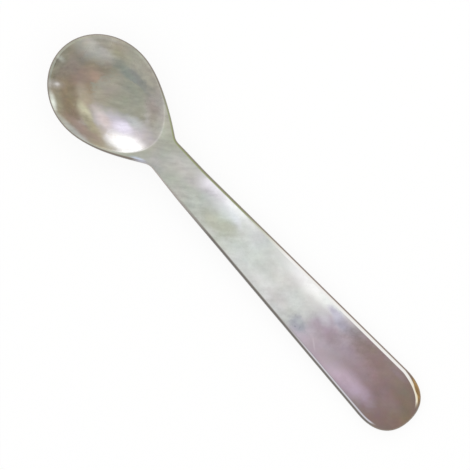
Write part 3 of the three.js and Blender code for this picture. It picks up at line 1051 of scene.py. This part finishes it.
to_foot = add(
    golden_skin, "ShaderNodeMix", [over_back, outside, layered["Foot"]], data_type="VECTOR"
)
seam_straight = add(
    golden_skin,
    "ShaderNodeMix",
    [up_seam, layered["Foot"], layered["Seam top"]],
    data_type="VECTOR",
)
seam_turn = add(
    golden_skin, "ShaderNodeMapRange", [up_seam, 0.0, 1.0, math.pi, layered["Seam angle"]]
)
seam_round = add(
    golden_skin, "GeometryNodeGroup", {**on_edge, "Angle": seam_turn}, node_tree=half_round
)
sunk = add(golden_skin, "ShaderNodeMath", [gold], operation="SQRT")
seam = add(golden_skin, "ShaderNodeMix", [sunk, seam_round, seam_straight], data_type="VECTOR")
on_seam = add(golden_skin, "ShaderNodeMath", [up_seam, 0.0], operation="GREATER_THAN")
section = add(golden_skin, "ShaderNodeMix", [on_seam, to_foot, seam], data_type="VECTOR")
lofted = add(golden_skin, "GeometryNodeSetPosition", {"Geometry": grid, "Position": section})
closed = add(golden_skin, "GeometryNodeMergeByDistance", {"Geometry": lofted, "Distance": 0.001 * MM})
uneven = add(golden_skin, "GeometryNodeGroup", {"Skin": closed}, node_tree=hand_ground)
smooth = add(golden_skin, "GeometryNodeSetShadeSmooth", {"Geometry": uneven, "Shade Smooth": True})
realized = add(golden_skin, "GeometryNodeRealizeInstances", {"Geometry": smooth})
finished = add(
    golden_skin, "GeometryNodeSetMaterial", {"Geometry": realized, "Material": given["Golden shell"]}
)
add(golden_skin, "NodeGroupOutput", {"Mesh": finished})

# Golden lip of the pearl oyster: horny prisms and nacre in thin amber to brown layers.
# It looks like polished horn, with fine streaks along the layers.
golden_shell = bpy.data.materials.new("polished_golden_lip")
golden_shell.use_nodes = True
tree = golden_shell.node_tree
shader = tree.nodes["Principled BSDF"]
coordinates = add(tree, "ShaderNodeTexCoord").outputs["Object"]
FINE_STREAK_MM = 0.35
streaks_in_mm = add(
    tree,
    "ShaderNodeMapping",
    {"Vector": coordinates, "Scale": (0.08 / MM, 0.4 / MM, 1 / MM)},
)
streaks = add(
    tree, "ShaderNodeTexNoise", {"Vector": streaks_in_mm, "Scale": 1 / FINE_STREAK_MM, "Detail": 3.0}
)
amber = add(tree, "ShaderNodeValToRGB", [streaks], stops=[
    (0.3, colour("6B4A1A")),
    (0.5, colour("906B2A")),
    (0.72, colour("B38A40")),
])
roughness = add(tree, "ShaderNodeMapRange", [streaks, 0.3, 0.7, 0.25, 0.4])
bump = add(tree, "ShaderNodeBump", {"Strength": 0.2, "Distance": 0.02 * MM, "Height": streaks})
tree.links.new(amber.outputs["Color"], shader.inputs["Base Color"])
tree.links.new(roughness.outputs[0], shader.inputs["Roughness"])
tree.links.new(bump.outputs[0], shader.inputs["Normal"])
shader.inputs["IOR"].default_value = 1.56
shader.inputs["Coat Weight"].default_value = 0.4
shader.inputs["Coat Roughness"].default_value = 0.12

lip = grown("golden_lip", golden_skin, {"Handle side": handle_side, "Golden shell": golden_shell})
lip.data.transform(put_down @ tilt)
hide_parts("golden_outer_layer")
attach(lip, "root")

for guide in (bowl_side, handle_side, hollow_edge):
    bpy.data.objects.remove(guide)

# Table: a plain sheet of white paper, which the spoon lies on.
# It stays white in the picture and in the gloss, and keeps the spoon's soft shadow.
TABLE_SIZE = 1.6
SHADOW_SHARE = 0.14  # of the true shadow that is left under the white
WHITE_LEVEL = 1.03

table_mesh = bpy.data.meshes.new("table")
table_half = TABLE_SIZE / 2
table_mesh.from_pydata(
    [(-table_half, -table_half, 0), (table_half, -table_half, 0),
     (table_half, table_half, 0), (-table_half, table_half, 0)],
    [],
    [(0, 1, 2, 3)],
)
table = bpy.data.objects.new("table", table_mesh)
bpy.context.collection.objects.link(table)


def background_rays(tree):
    """1 for the rays that show the background: from the camera, off gloss and through glass."""
    rays = add(tree, "ShaderNodeLightPath").outputs
    seen = add(tree, "ShaderNodeMath", [rays["Is Camera Ray"], rays["Is Glossy Ray"]], operation="MAXIMUM")
    return add(tree, "ShaderNodeMath", [seen, rays["Is Transmission Ray"]], operation="MAXIMUM")


white_sheet = bpy.data.materials.new("white_sheet")
white_sheet.use_nodes = True
tree = white_sheet.node_tree
sheet = tree.nodes["Principled BSDF"]
sheet.inputs["Base Color"].default_value = colour("F4F4F2")
sheet.inputs["Roughness"].default_value = 0.9
seen = background_rays(tree)
white_share = add(tree, "ShaderNodeMath", [seen, 1 - SHADOW_SHARE], operation="MULTIPLY")
glow = add(tree, "ShaderNodeEmission", {"Color": (1, 1, 1, 1), "Strength": WHITE_LEVEL})
mixed = add(tree, "ShaderNodeMixShader", [white_share, sheet, glow])
tree.links.new(mixed.outputs[0], tree.nodes["Material Output"].inputs["Surface"])
table_mesh.materials.append(white_sheet)

# Studio light: an even pale room, and one soft window low on the far side of the bowl.
# The window is dim, so that the flat handle doesn't clip to white where it mirrors it.
ROOM_LEVEL = 0.85
WINDOW_WAY = Vector((-0.653, 0.548, 0.523)).normalized()
WINDOW_DISTANCE = 0.45
WINDOW_WIDTH = 0.3
WINDOW_HEIGHT = 0.1
WINDOW_WATTS = 0.2

world = bpy.data.worlds.new("pale_room")
bpy.context.scene.world = world
world.use_nodes = True
tree = world.node_tree
background = tree.nodes["Background"]
seen = background_rays(tree)
level = add(tree, "ShaderNodeMapRange", [seen, 0.0, 1.0, ROOM_LEVEL, 1.0])
tree.links.new(level.outputs[0], background.inputs["Strength"])
background.inputs["Color"].default_value = (1, 1, 1, 1)

window = bpy.data.lights.new("window", "AREA")
window.shape = "RECTANGLE"
window.size = WINDOW_WIDTH
window.size_y = WINDOW_HEIGHT
window.energy = WINDOW_WATTS
window_object = bpy.data.objects.new("window", window)
window_object.location = WINDOW_DISTANCE * WINDOW_WAY
window_object.rotation_euler = WINDOW_WAY.to_track_quat("Z", "Y").to_euler()
bpy.context.collection.objects.link(window_object)

# Camera: straight above, with a long lens.
# It is turned so that the spoon lies slanting, with its bowl at the upper left.
VIEW_WIDTH = 110.4 * MM
VIEW_CENTRE = Vector((-0.25 * MM, -0.34 * MM, 4.5 * MM))
LENS = 200
SENSOR = 36
VIEW_TURN = math.radians(-47.2)  # of the spoon's long axis from the picture's right

camera_data = bpy.data.cameras.new("camera")
camera_data.lens = LENS
camera_data.sensor_width = SENSOR
camera_data.clip_start = 0.01
camera = bpy.data.objects.new("camera", camera_data)
camera.location = VIEW_CENTRE + Vector((0, 0, VIEW_WIDTH * LENS / SENSOR))
camera.rotation_euler = (0, 0, -VIEW_TURN)
bpy.context.collection.objects.link(camera)
bpy.context.scene.camera = camera
bpy.context.scene.view_settings.view_transform = "Standard"
